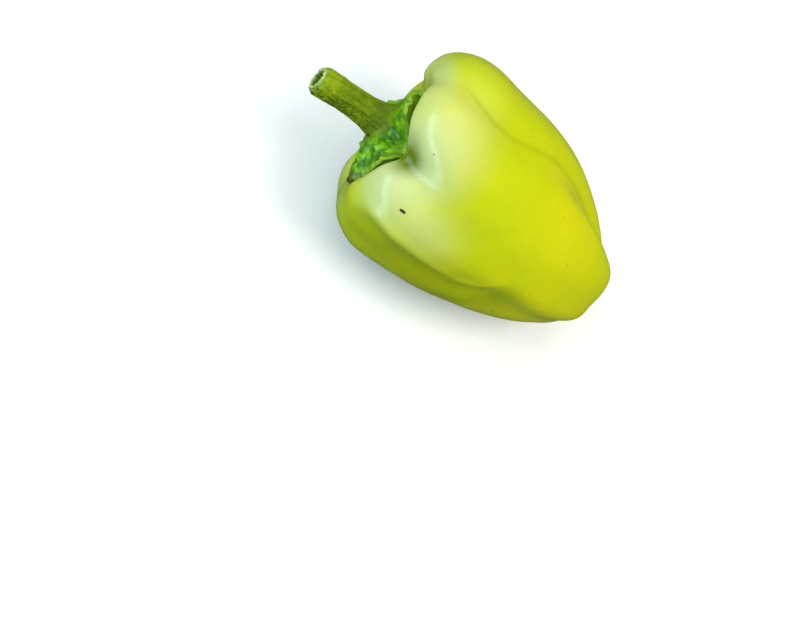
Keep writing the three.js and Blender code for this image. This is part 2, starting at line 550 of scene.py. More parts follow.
@dataclass(frozen=True)
class Mottling:
    """Shared effect: soft uneven patches in plant tissue, with a finer grain inside them.

    Attributes:
        size: patches per metre.
        grain: grains per metre.
        contrast: strength of the patches.
        shift: shift of the pattern, so that uses differ.
        patch_detail: how many finer layers the patches have.
        grain_detail: how many finer layers the grain has.
        patch_part: share of the patches in Height. The grain makes up the rest.
    """

    size: float
    grain: float
    contrast: float
    shift: float
    patch_detail: ClassVar[float] = 3.0
    grain_detail: ClassVar[float] = 2.0
    patch_part: ClassVar[float] = 0.7

    def place(self, bench: NodeBench) -> bpy.types.bpy_prop_collection:
        """Places the effect in a material.

        Args:
            bench: the material's nodes.

        Returns:
            Its outputs Patch, Grain and Height, each between 0 and 1.
        """
        group = bpy.data.node_groups.get("tissue_mottle") or self._group()
        return bench.effect(
            group, Size=self.size, Grain=self.grain, Contrast=self.contrast, Shift=self.shift
        )

    def _group(self) -> bpy.types.ShaderNodeTree:
        """Builds the effect's node group.

        Returns:
            The group.
        """
        inputs = ("Size", "Grain", "Contrast", "Shift")
        group = new_effect("tissue_mottle", inputs, ("Patch", "Grain", "Height"))
        bench = NodeBench(group)
        given = bench.add("NodeGroupInput").outputs
        result = bench.add("NodeGroupOutput").inputs
        place = shifted_place(bench, given["Shift"])
        middling = 0.5
        clouds = bench.cloud(place, given["Size"], self.patch_detail)
        centred = bench.math("SUBTRACT", clouds, middling)
        stretched = bench.math("MULTIPLY", centred, given["Contrast"])
        patch = bench.math("ADD", stretched, middling, clamp=True)
        fine = bench.cloud(place, given["Grain"], self.grain_detail)
        bench.feed(result["Patch"], patch)
        bench.feed(result["Grain"], fine)
        part = bench.math("MULTIPLY", patch, self.patch_part)
        rest = bench.math("MULTIPLY", fine, 1.0 - self.patch_part)
        bench.feed(result["Height"], bench.math("ADD", part, rest))
        return group


@dataclass(frozen=True)
class Speckling:
    """Shared effect: small scattered dots, such as pores and spots.

    Attributes:
        density: dots per metre.
        radius: size of a dot as a share of its cell.
        softness: width of a dot's edge as a share of its cell.
        shift: shift of the pattern, so that uses differ.
        cells_left_out: share of the cells that have no dot.
    """

    density: float
    radius: float
    softness: float
    shift: float
    cells_left_out: ClassVar[float] = 0.55

    def place(self, bench: NodeBench) -> bpy.types.NodeSocket:
        """Places the effect in a material.

        Args:
            bench: the material's nodes.

        Returns:
            Its output Mask, 1 on a dot.
        """
        group = bpy.data.node_groups.get("tissue_speckle") or self._group()
        outputs = bench.effect(
            group,
            Density=self.density,
            Radius=self.radius,
            Softness=self.softness,
            Shift=self.shift,
        )
        return outputs["Mask"]

    def _group(self) -> bpy.types.ShaderNodeTree:
        """Builds the effect's node group.

        Returns:
            The group.
        """
        inputs = ("Density", "Radius", "Softness", "Shift")
        group = new_effect("tissue_speckle", inputs, ("Mask",))
        bench = NodeBench(group)
        given = bench.add("NodeGroupInput").outputs
        result = bench.add("NodeGroupOutput").inputs
        cells = bench.add("ShaderNodeTexVoronoi")
        bench.feed(cells.inputs["Vector"], shifted_place(bench, given["Shift"]))
        bench.feed(cells.inputs["Scale"], given["Density"])
        wide = bench.math("ADD", given["Radius"], given["Softness"])
        inside = bench.ease(cells.outputs["Distance"], given["Radius"], wide, 1.0, 0.0)
        picked = bench.add("ShaderNodeSeparateColor")
        bench.feed(picked.inputs[0], cells.outputs["Color"])
        some = bench.math("GREATER_THAN", picked.outputs[0], self.cells_left_out)
        bench.feed(result["Mask"], bench.math("MULTIPLY", inside, some))
        return group


# ---- Finishes ------------------------------------------------------------------------------------


class Finish:
    """Base of the finishes: makes a material with a Principled BSDF.

    Attributes:
        name: the material's name.
        roughness: roughness where the grain is low, and where it is high.
        grain_range: the range in which most of a grain lies.
        see_through: weight of the light that travels under the surface.
        light_reach: how far red, green and blue light travel, as shares of light_scale.
        light_scale: distance that light travels under the surface.
        relief: how much of the fine relief shows.
        relief_height: height of the fine relief.
    """

    name: str
    roughness: Span
    grain_range: ClassVar[Span] = (0.3, 0.7)
    see_through: float = 0.0
    light_reach: Triple = (1.0, 1.0, 1.0)
    light_scale: float = 0.0
    relief: float
    relief_height: float

    def material(self) -> bpy.types.Material:
        """Builds the material, the first time that it's asked for.

        Returns:
            The material.
        """
        made = bpy.data.materials.get(self.name)
        if made:
            return made
        made = bpy.data.materials.new(self.name)
        made.use_nodes = True
        bench = NodeBench(made.node_tree)
        made.node_tree.nodes.clear()
        shader = bench.add("ShaderNodeBsdfPrincipled")
        output = bench.add("ShaderNodeOutputMaterial")
        bench.feed(output.inputs["Surface"], shader.outputs[0])
        if self.see_through:
            shader.inputs["Subsurface Weight"].default_value = self.see_through
            shader.inputs["Subsurface Radius"].default_value = self.light_reach
            shader.inputs["Subsurface Scale"].default_value = self.light_scale
        self.dress(bench, shader.inputs)
        return made

    def dress(self, bench: NodeBench, shader: bpy.types.bpy_prop_collection) -> None:
        """Fills in the shader.

        Args:
            bench: the material's nodes.
            shader: the Principled BSDF's inputs.
        """
        raise NotImplementedError

    def uneven(self, bench: NodeBench, grain: bpy.types.NodeSocket) -> bpy.types.NodeSocket:
        """Makes the roughness follow a grain.

        Args:
            bench: the material's nodes.
            grain: the grain.

        Returns:
            The roughness.
        """
        return bench.ease(grain, *self.grain_range, *self.roughness)

    def bumped(self, bench: NodeBench, height: bpy.types.NodeSocket) -> bpy.types.NodeSocket:
        """Adds a Bump node for the fine relief.

        Args:
            bench: the material's nodes.
            height: the relief's pattern.

        Returns:
            The new normal.
        """
        node = bench.add("ShaderNodeBump")
        node.inputs["Strength"].default_value = self.relief
        node.inputs["Distance"].default_value = self.relief_height
        bench.feed(node.inputs["Height"], height)
        return node.outputs[0]


@dataclass(frozen=True)
class SkinFinish(Finish):
    """Waxy, slightly see-through skin: lime on the sides; pale on top, partly its own tint and
    partly painted sheen; painted shade in the grooves, the pits, the recess and the facet.
    """

    name: str = "waxy_skin"
    lime: Colour = (0.52, 0.60, 0.001, 1.0)
    yellow: Colour = (0.64, 0.64, 0.001, 1.0)
    # Colour of the pale zone: partly the skin's own paler tint, partly painted sheen.
    pale: Colour = (0.57, 0.645, 0.33, 1.0)
    # Colour of the painted shade.
    shade_colour: Colour = (0.13, 0.19, 0.001, 1.0)
    pore: Colour = (0.42, 0.50, 0.02, 1.0)
    broad: Mottling = Mottling(size=22.0, grain=420.0, contrast=1.6, shift=0.0)
    close: Mottling = Mottling(size=110.0, grain=2600.0, contrast=1.3, shift=3.1)
    pores: Speckling = Speckling(density=520.0, radius=0.10, softness=0.10, shift=0.7)
    yellow_patches: Span = (0.25, 0.8)
    thinnest_bloom_and_sheen: float = 0.8
    pore_share: float = 0.25
    roughness: Span = (0.24, 0.31)
    glossy_hollows: Span = (0.5, 0.95)
    hollow_gloss: float = 0.15
    ior: float = 1.46
    coat: float = 0.48
    coat_roughness: float = 0.12
    bare_hollows: Span = (0.0, 0.8)
    hollow_coat: float = 0.02
    see_through: float = 0.22
    light_reach: Triple = (0.8, 1.0, 0.15)
    light_scale: float = 6.0 * MM
    relief: float = 0.5
    relief_height: float = 0.25 * MM
    close_relief: float = 0.8

    def dress(self, bench: NodeBench, shader: bpy.types.bpy_prop_collection) -> None:
        """Fills in the shader.

        Args:
            bench: the material's nodes.
            shader: the Principled BSDF's inputs.
        """
        broad = self.broad.place(bench)
        close = self.close.place(bench)
        # The hollow mask carries painted shade: darker in the crease, the pits, the recess and the
        # facet.
        hollow = bench.attribute("hollow")
        tone = bench.blend(bench.ease(broad["Patch"], *self.yellow_patches), self.lime, self.yellow)
        thinned = bench.ease(close["Patch"], 0.0, 1.0, self.thinnest_bloom_and_sheen, 1.0)
        # Pale zone, partly the skin's own paler tint and partly painted sheen.
        bloom_and_sheen = bench.math("MULTIPLY", bench.attribute("bloom_and_sheen"), thinned)
        tone = bench.blend(hollow, bench.blend(bloom_and_sheen, tone, self.pale), self.shade_colour)
        pores = bench.math("MULTIPLY", self.pores.place(bench), self.pore_share)
        bench.feed(shader["Base Color"], bench.blend(pores, tone, self.pore))
        smoother = bench.ease(hollow, *self.glossy_hollows, 0.0, self.hollow_gloss)
        grain = self.uneven(bench, close["Height"])
        bench.feed(shader["Roughness"], bench.math("SUBTRACT", grain, smoother))
        shader["IOR"].default_value = self.ior
        coat = bench.ease(hollow, *self.bare_hollows, self.coat, self.hollow_coat)
        bench.feed(shader["Coat Weight"], coat)
        shader["Coat Roughness"].default_value = self.coat_roughness
        dents = bench.math("MULTIPLY", close["Patch"], self.close_relief)
        grains = bench.math("MULTIPLY", broad["Grain"], 1.0 - self.close_relief)
        bench.feed(shader["Normal"], self.bumped(bench, bench.math("ADD", dents, grains)))


@dataclass(frozen=True)
class CalyxFinish(Finish):
    """Moist green calyx with pale high spots, painted shade in its folds, a pale lip that is partly
    painted highlight, and browned tips.
    """

    name: str = "moist_calyx"
    green: Colour = (0.055, 0.22, 0.001, 1.0)
    bright: Colour = (0.24, 0.55, 0.003, 1.0)
    # Colour of the lip: partly its own paler tint, partly painted highlight.
    pale: Colour = (0.36, 0.56, 0.03, 1.0)
    # Colour of the painted shade in the folds.
    fold_shade: Colour = (0.014, 0.065, 0.001, 1.0)
    brown: Colour = (0.05, 0.035, 0.008, 1.0)
    olive: Colour = (0.16, 0.25, 0.002, 1.0)
    patches: Mottling = Mottling(size=260.0, grain=2200.0, contrast=1.8, shift=5.0)
    bright_patches: Span = (0.3, 0.75)
    lip_share: float = 0.55
    stalky_share: float = 0.8
    roughness: Span = (0.24, 0.46)
    coat: float = 0.5
    coat_roughness: float = 0.06
    see_through: float = 0.12
    light_reach: Triple = (0.4, 1.0, 0.1)
    light_scale: float = 2.0 * MM
    relief: float = 0.7
    relief_height: float = 0.35 * MM

    def dress(self, bench: NodeBench, shader: bpy.types.bpy_prop_collection) -> None:
        """Fills in the shader.

        Args:
            bench: the material's nodes.
            shader: the Principled BSDF's inputs.
        """
        patches = self.patches.place(bench)
        bright = bench.ease(patches["Patch"], *self.bright_patches)
        # The pale lip is partly its own tint, partly painted highlight on the rolled edge.
        lip = bench.math("MULTIPLY", bench.attribute("lip"), self.lip_share)
        stalky = bench.math("MULTIPLY", bench.attribute("stalky"), self.stalky_share)
        tone = bench.blend(bright, self.green, self.bright)
        tone = bench.blend(lip, tone, self.pale)
        # Painted shade in the folds between the blisters and the wrinkles.
        tone = bench.blend(bench.attribute("fold_shade"), tone, self.fold_shade)
        tone = bench.blend(stalky, tone, self.olive)
        tone = bench.blend(bench.attribute("browned"), tone, self.brown)
        bench.feed(shader["Base Color"], tone)
        bench.feed(shader["Roughness"], self.uneven(bench, patches["Grain"]))
        shader["Coat Weight"].default_value = self.coat
        shader["Coat Roughness"].default_value = self.coat_roughness
        bench.feed(shader["Normal"], self.bumped(bench, patches["Height"]))


@dataclass(frozen=True)
class StemFinish(Finish):
    """Olive stem with dark blotches along its ribs, and a pale cut end around a dark hollow."""

    name: str = "olive_stem"
    olive: Colour = (0.13, 0.215, 0.001, 1.0)
    light: Colour = (0.27, 0.37, 0.003, 1.0)
    dark: Colour = (0.050, 0.062, 0.005, 1.0)
    cut: Colour = (0.58, 0.66, 0.28, 1.0)
    hollow: Colour = (0.07, 0.12, 0.003, 1.0)
    broad: Mottling = Mottling(size=150.0, grain=1500.0, contrast=2.2, shift=8.0)
    close: Mottling = Mottling(size=900.0, grain=5200.0, contrast=2.4, shift=11.0)
    light_patches: Span = (0.35, 0.9)
    light_share: float = 0.6
    sleeve_share: float = 0.65
    dark_patches: Span = (0.50, 0.78)
    roughness: Span = (0.36, 0.60)
    specular: float = 0.3
    see_through: float = 0.05
    light_reach: Triple = (0.5, 1.0, 0.1)
    light_scale: float = 1.5 * MM
    relief: float = 0.6
    relief_height: float = 0.25 * MM

    def dress(self, bench: NodeBench, shader: bpy.types.bpy_prop_collection) -> None:
        """Fills in the shader.

        Args:
            bench: the material's nodes.
            shader: the Principled BSDF's inputs.
        """
        broad = self.broad.place(bench)
        close = self.close.place(bench)
        light = bench.ease(broad["Patch"], *self.light_patches, 0.0, self.light_share)
        sleeve = bench.math("MULTIPLY", bench.attribute("sleeve"), self.sleeve_share)
        spots = bench.ease(close["Patch"], *self.dark_patches)
        blotch = bench.math("MULTIPLY", spots, bench.attribute("blotched"))
        tone = bench.blend(light, self.olive, self.light)
        tone = bench.blend(sleeve, tone, self.light)
        tone = bench.blend(blotch, tone, self.dark)
        tone = bench.blend(bench.attribute("furrow"), tone, self.dark)
        tone = bench.blend(bench.attribute("cut"), tone, self.cut)
        tone = bench.blend(bench.attribute("pith"), tone, self.hollow)
        bench.feed(shader["Base Color"], tone)
        bench.feed(shader["Roughness"], self.uneven(bench, close["Height"]))
        shader["Specular IOR Level"].default_value = self.specular
        bench.feed(shader["Normal"], self.bumped(bench, close["Height"]))


@dataclass(frozen=True)
class DriedFinish(Finish):
    """Dry brown tissue of the style stub and of the specks on the skin."""

    name: str = "dried_tissue"
    brown: Colour = (0.070, 0.045, 0.014, 1.0)
    black: Colour = (0.012, 0.010, 0.006, 1.0)
    patches: Mottling = Mottling(size=700.0, grain=5000.0, contrast=2.0, shift=14.0)
    roughness: Span = (0.62, 0.82)
    relief: float = 0.6
    relief_height: float = 0.1 * MM

    def dress(self, bench: NodeBench, shader: bpy.types.bpy_prop_collection) -> None:
        """Fills in the shader.

        Args:
            bench: the material's nodes.
            shader: the Principled BSDF's inputs.
        """
        patches = self.patches.place(bench)
        bench.feed(shader["Base Color"], bench.blend(patches["Patch"], self.black, self.brown))
        bench.feed(shader["Roughness"], self.uneven(bench, patches["Grain"]))
        bench.feed(shader["Normal"], self.bumped(bench, patches["Height"]))


# ---- Skin ----------------------------------------------------------------------------------------


@dataclass(frozen=True)
class SkinPlaces:
    """Where the skin's vertices lie.

    Attributes:
        radius: distances from the core.
        angle: angles around the core.
        height: heights.
        crease: 1 in the long crease, 0 away from it.
        past_ridge: distances past the ridge's line, positive towards the shoulder.
    """

    radius: np.ndarray
    angle: np.ndarray
    height: np.ndarray
    crease: np.ndarray
    past_ridge: np.ndarray


@dataclass
class FruitSkin:
    """The fruit's skin: the CAD body made smooth, with finer creases, dimples and colour zones,
    among them painted shade and a pale zone with painted sheen.
    """

    home: FruitFrame
    finish: SkinFinish = SkinFinish()
    levels: int = 2
    # The long crease between two lobes.
    crease: LineDown = LineDown(
        (0.0, -8 * MM, -14 * MM, -20 * MM, -31 * MM, -51 * MM, -67 * MM, -97 * MM),
        (58.0, 48.0, 40.0, 36.0, 37.0, 50.0, 55.0, 58.0),
    )
    crease_width: float = 1.2 * MM
    crease_depth: float = 0.18 * MM
    crease_top: Span = (-4.0 * MM, -14.0 * MM)
    crease_foot: Span = (-80.0 * MM, -94.0 * MM)
    # Painted shade along the crease.
    crease_shade: float = 0.2
    # The ridge below the shoulder, and the sunken facet under it.
    ridge: LineDown = LineDown(
        (-5 * MM, -13 * MM, -23 * MM, -33 * MM, -41 * MM, -48 * MM, -55 * MM, -60.5 * MM, -64 * MM),
        (-50.0, -47.0, -46.0, -49.0, -50.0, -52.0, -48.0, -37.0, -29.0),
    )
    ridge_width: float = 2.8 * MM
    ridge_height: float = 0.8 * MM
    ridge_top: Span = (-3.0 * MM, -11.0 * MM)
    ridge_foot: Span = (-52.0 * MM, -64.0 * MM)
    facet_middle: float = 7.0 * MM
    facet_width: float = 4.5 * MM
    facet_depth: float = 1.3 * MM
    # Painted shade on the sunken facet, growing further down.
    facet_shade_middle: float = 12.6 * MM
    facet_shade_width: float = 9.9 * MM
    facet_shade_foot: Span = (-62.0 * MM, -84.0 * MM)
    facet_shade_edge: Span = (1.5 * MM, -3.0 * MM)
    facet_shade: float = 0.27
    facet_shade_growth: Span = (-25.0 * MM, -45.0 * MM)
    facet_extra_shade: float = 0.26
    # The recess outside the calyx's notch, and the filling under it.
    notch_top: Span = (-18.0 * MM, -8.0 * MM)
    recess_side: Side = (-15.0, 9.0)
    recess_radius: float = 28.0 * MM
    recess_width: float = 3.5 * MM
    recess_depth: float = 0.9 * MM
    filled_side: Side = (-6.0, 10.0)
    filled_radius: float = 23.0 * MM
    filled_width: float = 3.0 * MM
    filled_height: float = 1.3 * MM
    # Painted shade in the recess.
    recess_shade_side: Side = (-11.0, 13.0)
    recess_shade_radius: Span = (33.0 * MM, 26.0 * MM)
    recess_shade_top: Span = (-16.0 * MM, -8.0 * MM)
    recess_shade: float = 1.15
    # Unevenness. The skin that touches the floor stays flat.
    wander: Hills = Hills(18.0 * MM, 4.0, 0.8 * MM)
    dimples: Hills = Hills(15.0 * MM, 1.0, 0.27 * MM)
    fine_dimples: Hills = Hills(6.5 * MM, 2.0, 0.1125 * MM)
    off_floor: Span = (0.2 * MM, 1.5 * MM)
    # The pale zone on the shoulder, along the ridge and around the pit's rim: partly the skin's own
    # paler tint, partly painted sheen.
    shoulder_top: Span = (-32.0 * MM, -4.0 * MM)
    shoulder_side: Side = (-14.0, 46.0)
    band_middle: float = 9.0 * MM
    band_width: float = 9.0 * MM
    band_foot: Span = (-20.0 * MM, -46.0 * MM)
    band_sheen: float = 0.55
    bloom_and_sheen_edge: Span = (-3.0 * MM, 1.5 * MM)
    bloom_and_sheen_past_angle: float = 120.0
    rim_start: float = -13.0 * MM
    rim_end: float = -2.0 * MM
    rim_narrowing: float = 7.0 * MM
    rim_narrow_side: Side = (75.0, 30.0)
    rim_gap: Side = (-72.0, 22.0)
    rim_bloom_and_sheen: float = 0.55
    # Painted shade in the two pits.
    pit_radius: Span = (22.0 * MM, 15.0 * MM)
    pit_top: Span = (-20.0 * MM, -2.0 * MM)
    pit_shade: float = 0.6
    blossom_radius: Span = (9.0 * MM, 3.0 * MM)
    blossom_top: Span = (-80.0 * MM, -90.0 * MM)
    blossom_shade: float = 0.7

    def build(self) -> bpy.types.Object:
        """Builds and dresses the skin.

        Returns:
            The finished piece.
        """
        source = self._smooth_body()
        skin = add_object("pepper_skin", source)
        self._shape_and_paint(source)
        source.materials.clear()
        source.materials.append(self.finish.material())
        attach(skin, BODY)
        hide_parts("fruit_body")
        return skin

    def _smooth_body(self) -> bpy.types.Mesh:
        """Copies the CAD body, joins its triangles to quads and subdivides it.

        Returns:
            The smooth mesh.
        """
        mesh = bmesh.new()
        mesh.from_mesh(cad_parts["fruit_body"].data)
        bmesh.ops.remove_doubles(mesh, verts=mesh.verts, dist=WELD)
        bmesh.ops.join_triangles(
            mesh, faces=mesh.faces, angle_face_threshold=math.pi, angle_shape_threshold=math.pi
        )
        bmesh.ops.recalc_face_normals(mesh, faces=mesh.faces)
        coarse = bpy.data.meshes.new("coarse_skin")
        mesh.to_mesh(coarse)
        mesh.free()
        helper = add_object("coarse_skin", coarse)
        smoother = helper.modifiers.new("smooth", "SUBSURF")
        smoother.levels = self.levels
        smoother.render_levels = self.levels
        fine = evaluated_copy(helper, "pepper_skin")
        bpy.data.objects.remove(helper)
        shade_smooth(fine)
        return fine

    def _shape_and_paint(self, mesh: bpy.types.Mesh) -> None:
        """Presses the finer shape in, and stores the colour zones: the pale zone with its painted
        sheen, and the mask of painted shade.

        Args:
            mesh: the smooth skin.
        """
        world = per_vertex(mesh, "co")
        normals = per_vertex(mesh, "normal")
        own = self.home.own(world)
        radius, angle = polar(own)
        height = own[:, 2]
        wander = self.wander.at(world)
        reach = smoothstep(*self.crease_top, height) * (1.0 - smoothstep(*self.crease_foot, height))
        from_crease = self.crease.away(angle, height, radius) + wander
        crease = bump(from_crease, self.crease_width) * reach
        past_ridge = self.ridge.away(angle, height, radius) + wander
        at = SkinPlaces(radius, angle, height, crease, past_ridge)
        dimples = self.dimples.at(world) + self.fine_dimples.at(world)
        depth = (self._depth(at) + dimples) * smoothstep(*self.off_floor, world[:, 2])
        write_positions(mesh, world - normals * depth[:, None])
        paint(mesh, "bloom_and_sheen", self._bloom_and_sheen(at))
        paint(mesh, "hollow", self._painted_shade(at))

    def _depth(self, at: SkinPlaces) -> np.ndarray:
        """How far the crease, the facet and the recess are pressed in.

        Args:
            at: where the vertices lie.

        Returns:
            Depths in metres, below zero where the skin stands out.
        """
        felt = smoothstep(*self.ridge_top, at.height)
        felt = felt * (1.0 - smoothstep(*self.ridge_foot, at.height))
        ridge = self.ridge_height * felt * bump(at.past_ridge, self.ridge_width)
        in_facet = bump(at.past_ridge + self.facet_middle, self.facet_width)
        facet = self.facet_depth * felt * in_facet
        recess = facing(at.angle, self.recess_side)
        recess = recess * bump(at.radius - self.recess_radius, self.recess_width)
        filled = facing(at.angle, self.filled_side)
        filled = filled * bump(at.radius - self.filled_radius, self.filled_width)
        notch = self.recess_depth * recess - self.filled_height * filled
        notch = notch * smoothstep(*self.notch_top, at.height)
        return self.crease_depth * at.crease - ridge + facet + notch

    def _bloom_and_sheen(self, at: SkinPlaces) -> np.ndarray:
        """Where the skin is painted pale: partly its own paler tint, partly painted sheen.

        Args:
            at: where the vertices lie.

        Returns:
            Shares between 0 and 1.
        """
        shoulder = smoothstep(*self.shoulder_top, at.height)
        shoulder = shoulder * facing(at.angle, self.shoulder_side)
        band = bump(at.past_ridge - self.band_middle, self.band_width)
        band = self.band_sheen * band * (1.0 - smoothstep(*self.band_foot, at.height))
        above_edge = smoothstep(*self.bloom_and_sheen_edge, at.past_ridge)
        above_edge = np.where(at.angle > self.bloom_and_sheen_past_angle, 1.0, above_edge)
        bloom_and_sheen = np.maximum(shoulder, band) * above_edge
        rim_start = self.rim_start + self.rim_narrowing * facing(at.angle, self.rim_narrow_side)
        rim = self.rim_bloom_and_sheen * smoothstep(rim_start, self.rim_end, at.height)
        rim = rim * (1.0 - facing(at.angle, self.rim_gap))
        return np.clip(np.maximum(bloom_and_sheen, rim), 0.0, 1.0)

    def _painted_shade(self, at: SkinPlaces) -> np.ndarray:
        """Where painted shade darkens the skin: in the crease, the pits, the recess and the sunken
        facet.

        Args:
            at: where the vertices lie.

        Returns:
            Shares between 0 and 1.
        """
        pit = smoothstep(*self.pit_radius, at.radius) * smoothstep(*self.pit_top, at.height)
        blossom = smoothstep(*self.blossom_radius, at.radius)
        blossom = blossom * smoothstep(*self.blossom_top, at.height)
        recess = facing(at.angle, self.recess_shade_side)
        recess = recess * smoothstep(*self.recess_shade_radius, at.radius)
        recess = recess * smoothstep(*self.recess_shade_top, at.height)
        facet = smoothstep(*self.ridge_top, at.height)
        facet = facet * (1.0 - smoothstep(*self.facet_shade_foot, at.height))
        extra_shade = self.facet_extra_shade * smoothstep(*self.facet_shade_growth, at.height)
        facet = facet * (self.facet_shade + extra_shade)
        facet = facet * bump(at.past_ridge + self.facet_shade_middle, self.facet_shade_width)
        facet = facet * smoothstep(*self.facet_shade_edge, at.past_ridge)
        pits = self.pit_shade * pit + self.blossom_shade * blossom + self.recess_shade * recess
        return np.clip(self.crease_shade * at.crease + pits + facet, 0.0, 1.0)


# ---- Calyx ---------------------------------------------------------------------------------------


@dataclass
class Calyx:
    """The puckered green collar in the stem pit, with a thick lip that curls up from the skin."""

    home: FruitFrame
    finish: CalyxFinish = CalyxFinish()
    thickness: float = 1.5 * MM
    inner_radius: float = 4.4 * MM
    # The outline, with its points and its notch.
    radius: float = 19.4 * MM
    waviness: float = 0.06
    points: int = 6
    reach_angle: float = -95.0
    reach_width: float = 40.0
    reach_share: float = 0.05
    near_side: Side = (32.0, 26.0)
    near_reach: float = 1.8 * MM
    notch_side: Side = (-9.0, 17.0)
    notch_depth: float = 2.4 * MM
    short_side: Side = (88.0, 34.0)
    shortening: float = 3.6 * MM
    ragged: Hills = Hills(0.24, 6.0, 0.05)
    frayed: Hills = Hills(0.10, 7.0, 0.03)
    # How far the lip stands up from the skin.
    lift: float = 0.3 * MM
    near_lift: float = 1.0 * MM
    near_lift_side: Side = (20.0, 50.0)
    far_lift: float = 2.6 * MM
    far_lift_side: Side = (132.0, 32.0)
    lip_waves: Hills = Hills(0.16, 21.0, 1.3 * MM)
    # The slope from the stem to the lip.
    slope_power: float = 1.15
    least_thickness: float = 1.2 * MM
    sleeve_radius: float = 6.6 * MM
    sleeve_height: float = 1.3 * MM
    sleeve_fade: float = 1.3 * MM
    sunk: float = 0.4 * MM
    lip_underside: float = 2.8 * MM
    # Ribs, blisters and wrinkles, and the smooth tissue next to the stem.
    rib_height: float = 0.5 * MM
    blisters: Hills = Hills(5.2 * MM, 3.0)
    blister_height: float = 3.4 * MM
    wrinkles: Hills = Hills(2.3 * MM, 13.0)
    wrinkle_height: float = 1.5 * MM
    grain: Hills = Hills(0.9 * MM, 9.0, 0.18 * MM)
    sinking: float = 0.8 * MM
    crinkle_start: float = 0.10
    crinkle_stretch: float = 0.75
    stalky_side: Side = (40.0, 30.0)
    stalky_reach: Span = (0.14, 0.34)
    stalky_extra: Span = (0.34, 0.42)
    # Colour zones: painted shade in the folds, the pale lip that is partly painted highlight, and
    # the browned tip and spot.
    blister_fold: Span = (0.14, 0.0)
    blister_shade: float = 0.55
    wrinkle_fold: Span = (0.12, 0.0)
    wrinkle_shade: float = 0.25
    lip_zone: Span = (0.88, 1.0)
    tip_side: Side = (-90.0, 13.0)
    tip_zone: Span = (0.86, 0.95)
    spot_side: Side = (66.0, 5.0)
    spot_zone: Span = (0.86, 0.94)
    spot_share: float = 0.8
    columns: int = 288
    slope_rows: int = 52
    edge_rows: int = 8
    under_rows: int = 16

    def build(self, skin: bpy.types.Object) -> bpy.types.Object:
        """Builds and dresses the calyx.

        Args:
            skin: the fruit's skin, on which the calyx lies.

        Returns:
            The finished piece.
        """
        self._ground(skin)
        rows = 1 + self.slope_rows + self.edge_rows + self.under_rows
        piece = grown_mesh("calyx_collar", self.columns, rows, self._ring, self.home)
        self._zones(piece.data)
        piece.data.materials.append(self.finish.material())
        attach(piece, BODY)
        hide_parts("calyx")
        return piece

    def _ground(self, skin: bpy.types.Object) -> None:
        """Keeps the skin in the fruit's own frame, for finding its height under the calyx.

        Args:
            skin: the fruit's skin.
        """
        own = self.home.own(per_vertex(skin.data, "co"))
        polygons = [tuple(polygon.vertices) for polygon in skin.data.polygons]
        self._tree = BVHTree.FromPolygons([tuple(p) for p in own], polygons)

    def _skin_height(self, angles: np.ndarray, radius: np.ndarray) -> np.ndarray:
        """Height of the skin at a ring of places.

        Args:
            angles: their angles.
            radius: their distances from the core.

        Returns:
            One height for each place.
        """
        down = Vector((0.0, 0.0, -1.0))
        well_above = 40.0 * MM
        starts = around(angles, radius, well_above)
        hits = [self._tree.ray_cast(Vector(start), down)[0] for start in starts]
        return np.array([hit.z if hit else 0.0 for hit in hits])

    def _ribs(self, angles: np.ndarray) -> np.ndarray:
        """Waves with a crest at each of the calyx's points, between -1 and 1."""
        return np.cos(np.radians(self.points * (angles - self.reach_angle)))

    def _edge_radius(self, angles: np.ndarray) -> np.ndarray:
        """How far the calyx reaches at each angle.

        Args:
            angles: angles around the core.

        Returns:
            Radii in metres.
        """
        reach = self.reach_share * facing(angles, (self.reach_angle, self.reach_width))
        circle = around(angles, 1.0, 0.0)
        uneven = self.ragged.at(circle) + self.frayed.at(circle)
        whole = self.radius * (1.0 + self.waviness * self._ribs(angles) + reach + uneven)
        near = self.near_reach * facing(angles, self.near_side)
        notch = self.notch_depth * facing(angles, self.notch_side)
        short = self.shortening * facing(angles, self.short_side)
        return whole + (near - notch) - short

    def _lift(self, angles: np.ndarray) -> np.ndarray:
        """How far the lip stands up from the skin at each angle.

        Args:
            angles: angles around the core.

        Returns:
            Heights in metres.
        """
        near = self.near_lift * facing(angles, self.near_lift_side)
        far = self.far_lift * facing(angles, self.far_lift_side)
        return self.lift + near + far + np.abs(self.lip_waves.at(around(angles, 1.0, 0.0)))

    def _stalky(self, angles: np.ndarray, share: np.ndarray | float) -> np.ndarray:
        """How far the stem's smooth olive tissue runs out over the calyx.

        Args:
            angles: angles around the core.
            share: 0 at the stem, 1 at the edge.

        Returns:
            1 where the calyx is like the stem, 0 where it is crinkled.
        """
        extra = facing(angles, self.stalky_side)
        start = self.stalky_reach[0] + self.stalky_extra[0] * extra
        end = self.stalky_reach[1] + self.stalky_extra[1] * extra
        return 1.0 - smoothstep(start, end, share)

    def _folds(self, place: np.ndarray) -> tuple[np.ndarray, np.ndarray]:
        """Patterns of the blisters and the wrinkles, 0 in the folds between them.

        Args:
            place: N x 3 positions at height 0.

        Returns:
            Values of the blisters and of the wrinkles.
        """
        return np.abs(self.blisters.at(place)), np.abs(self.wrinkles.at(place))

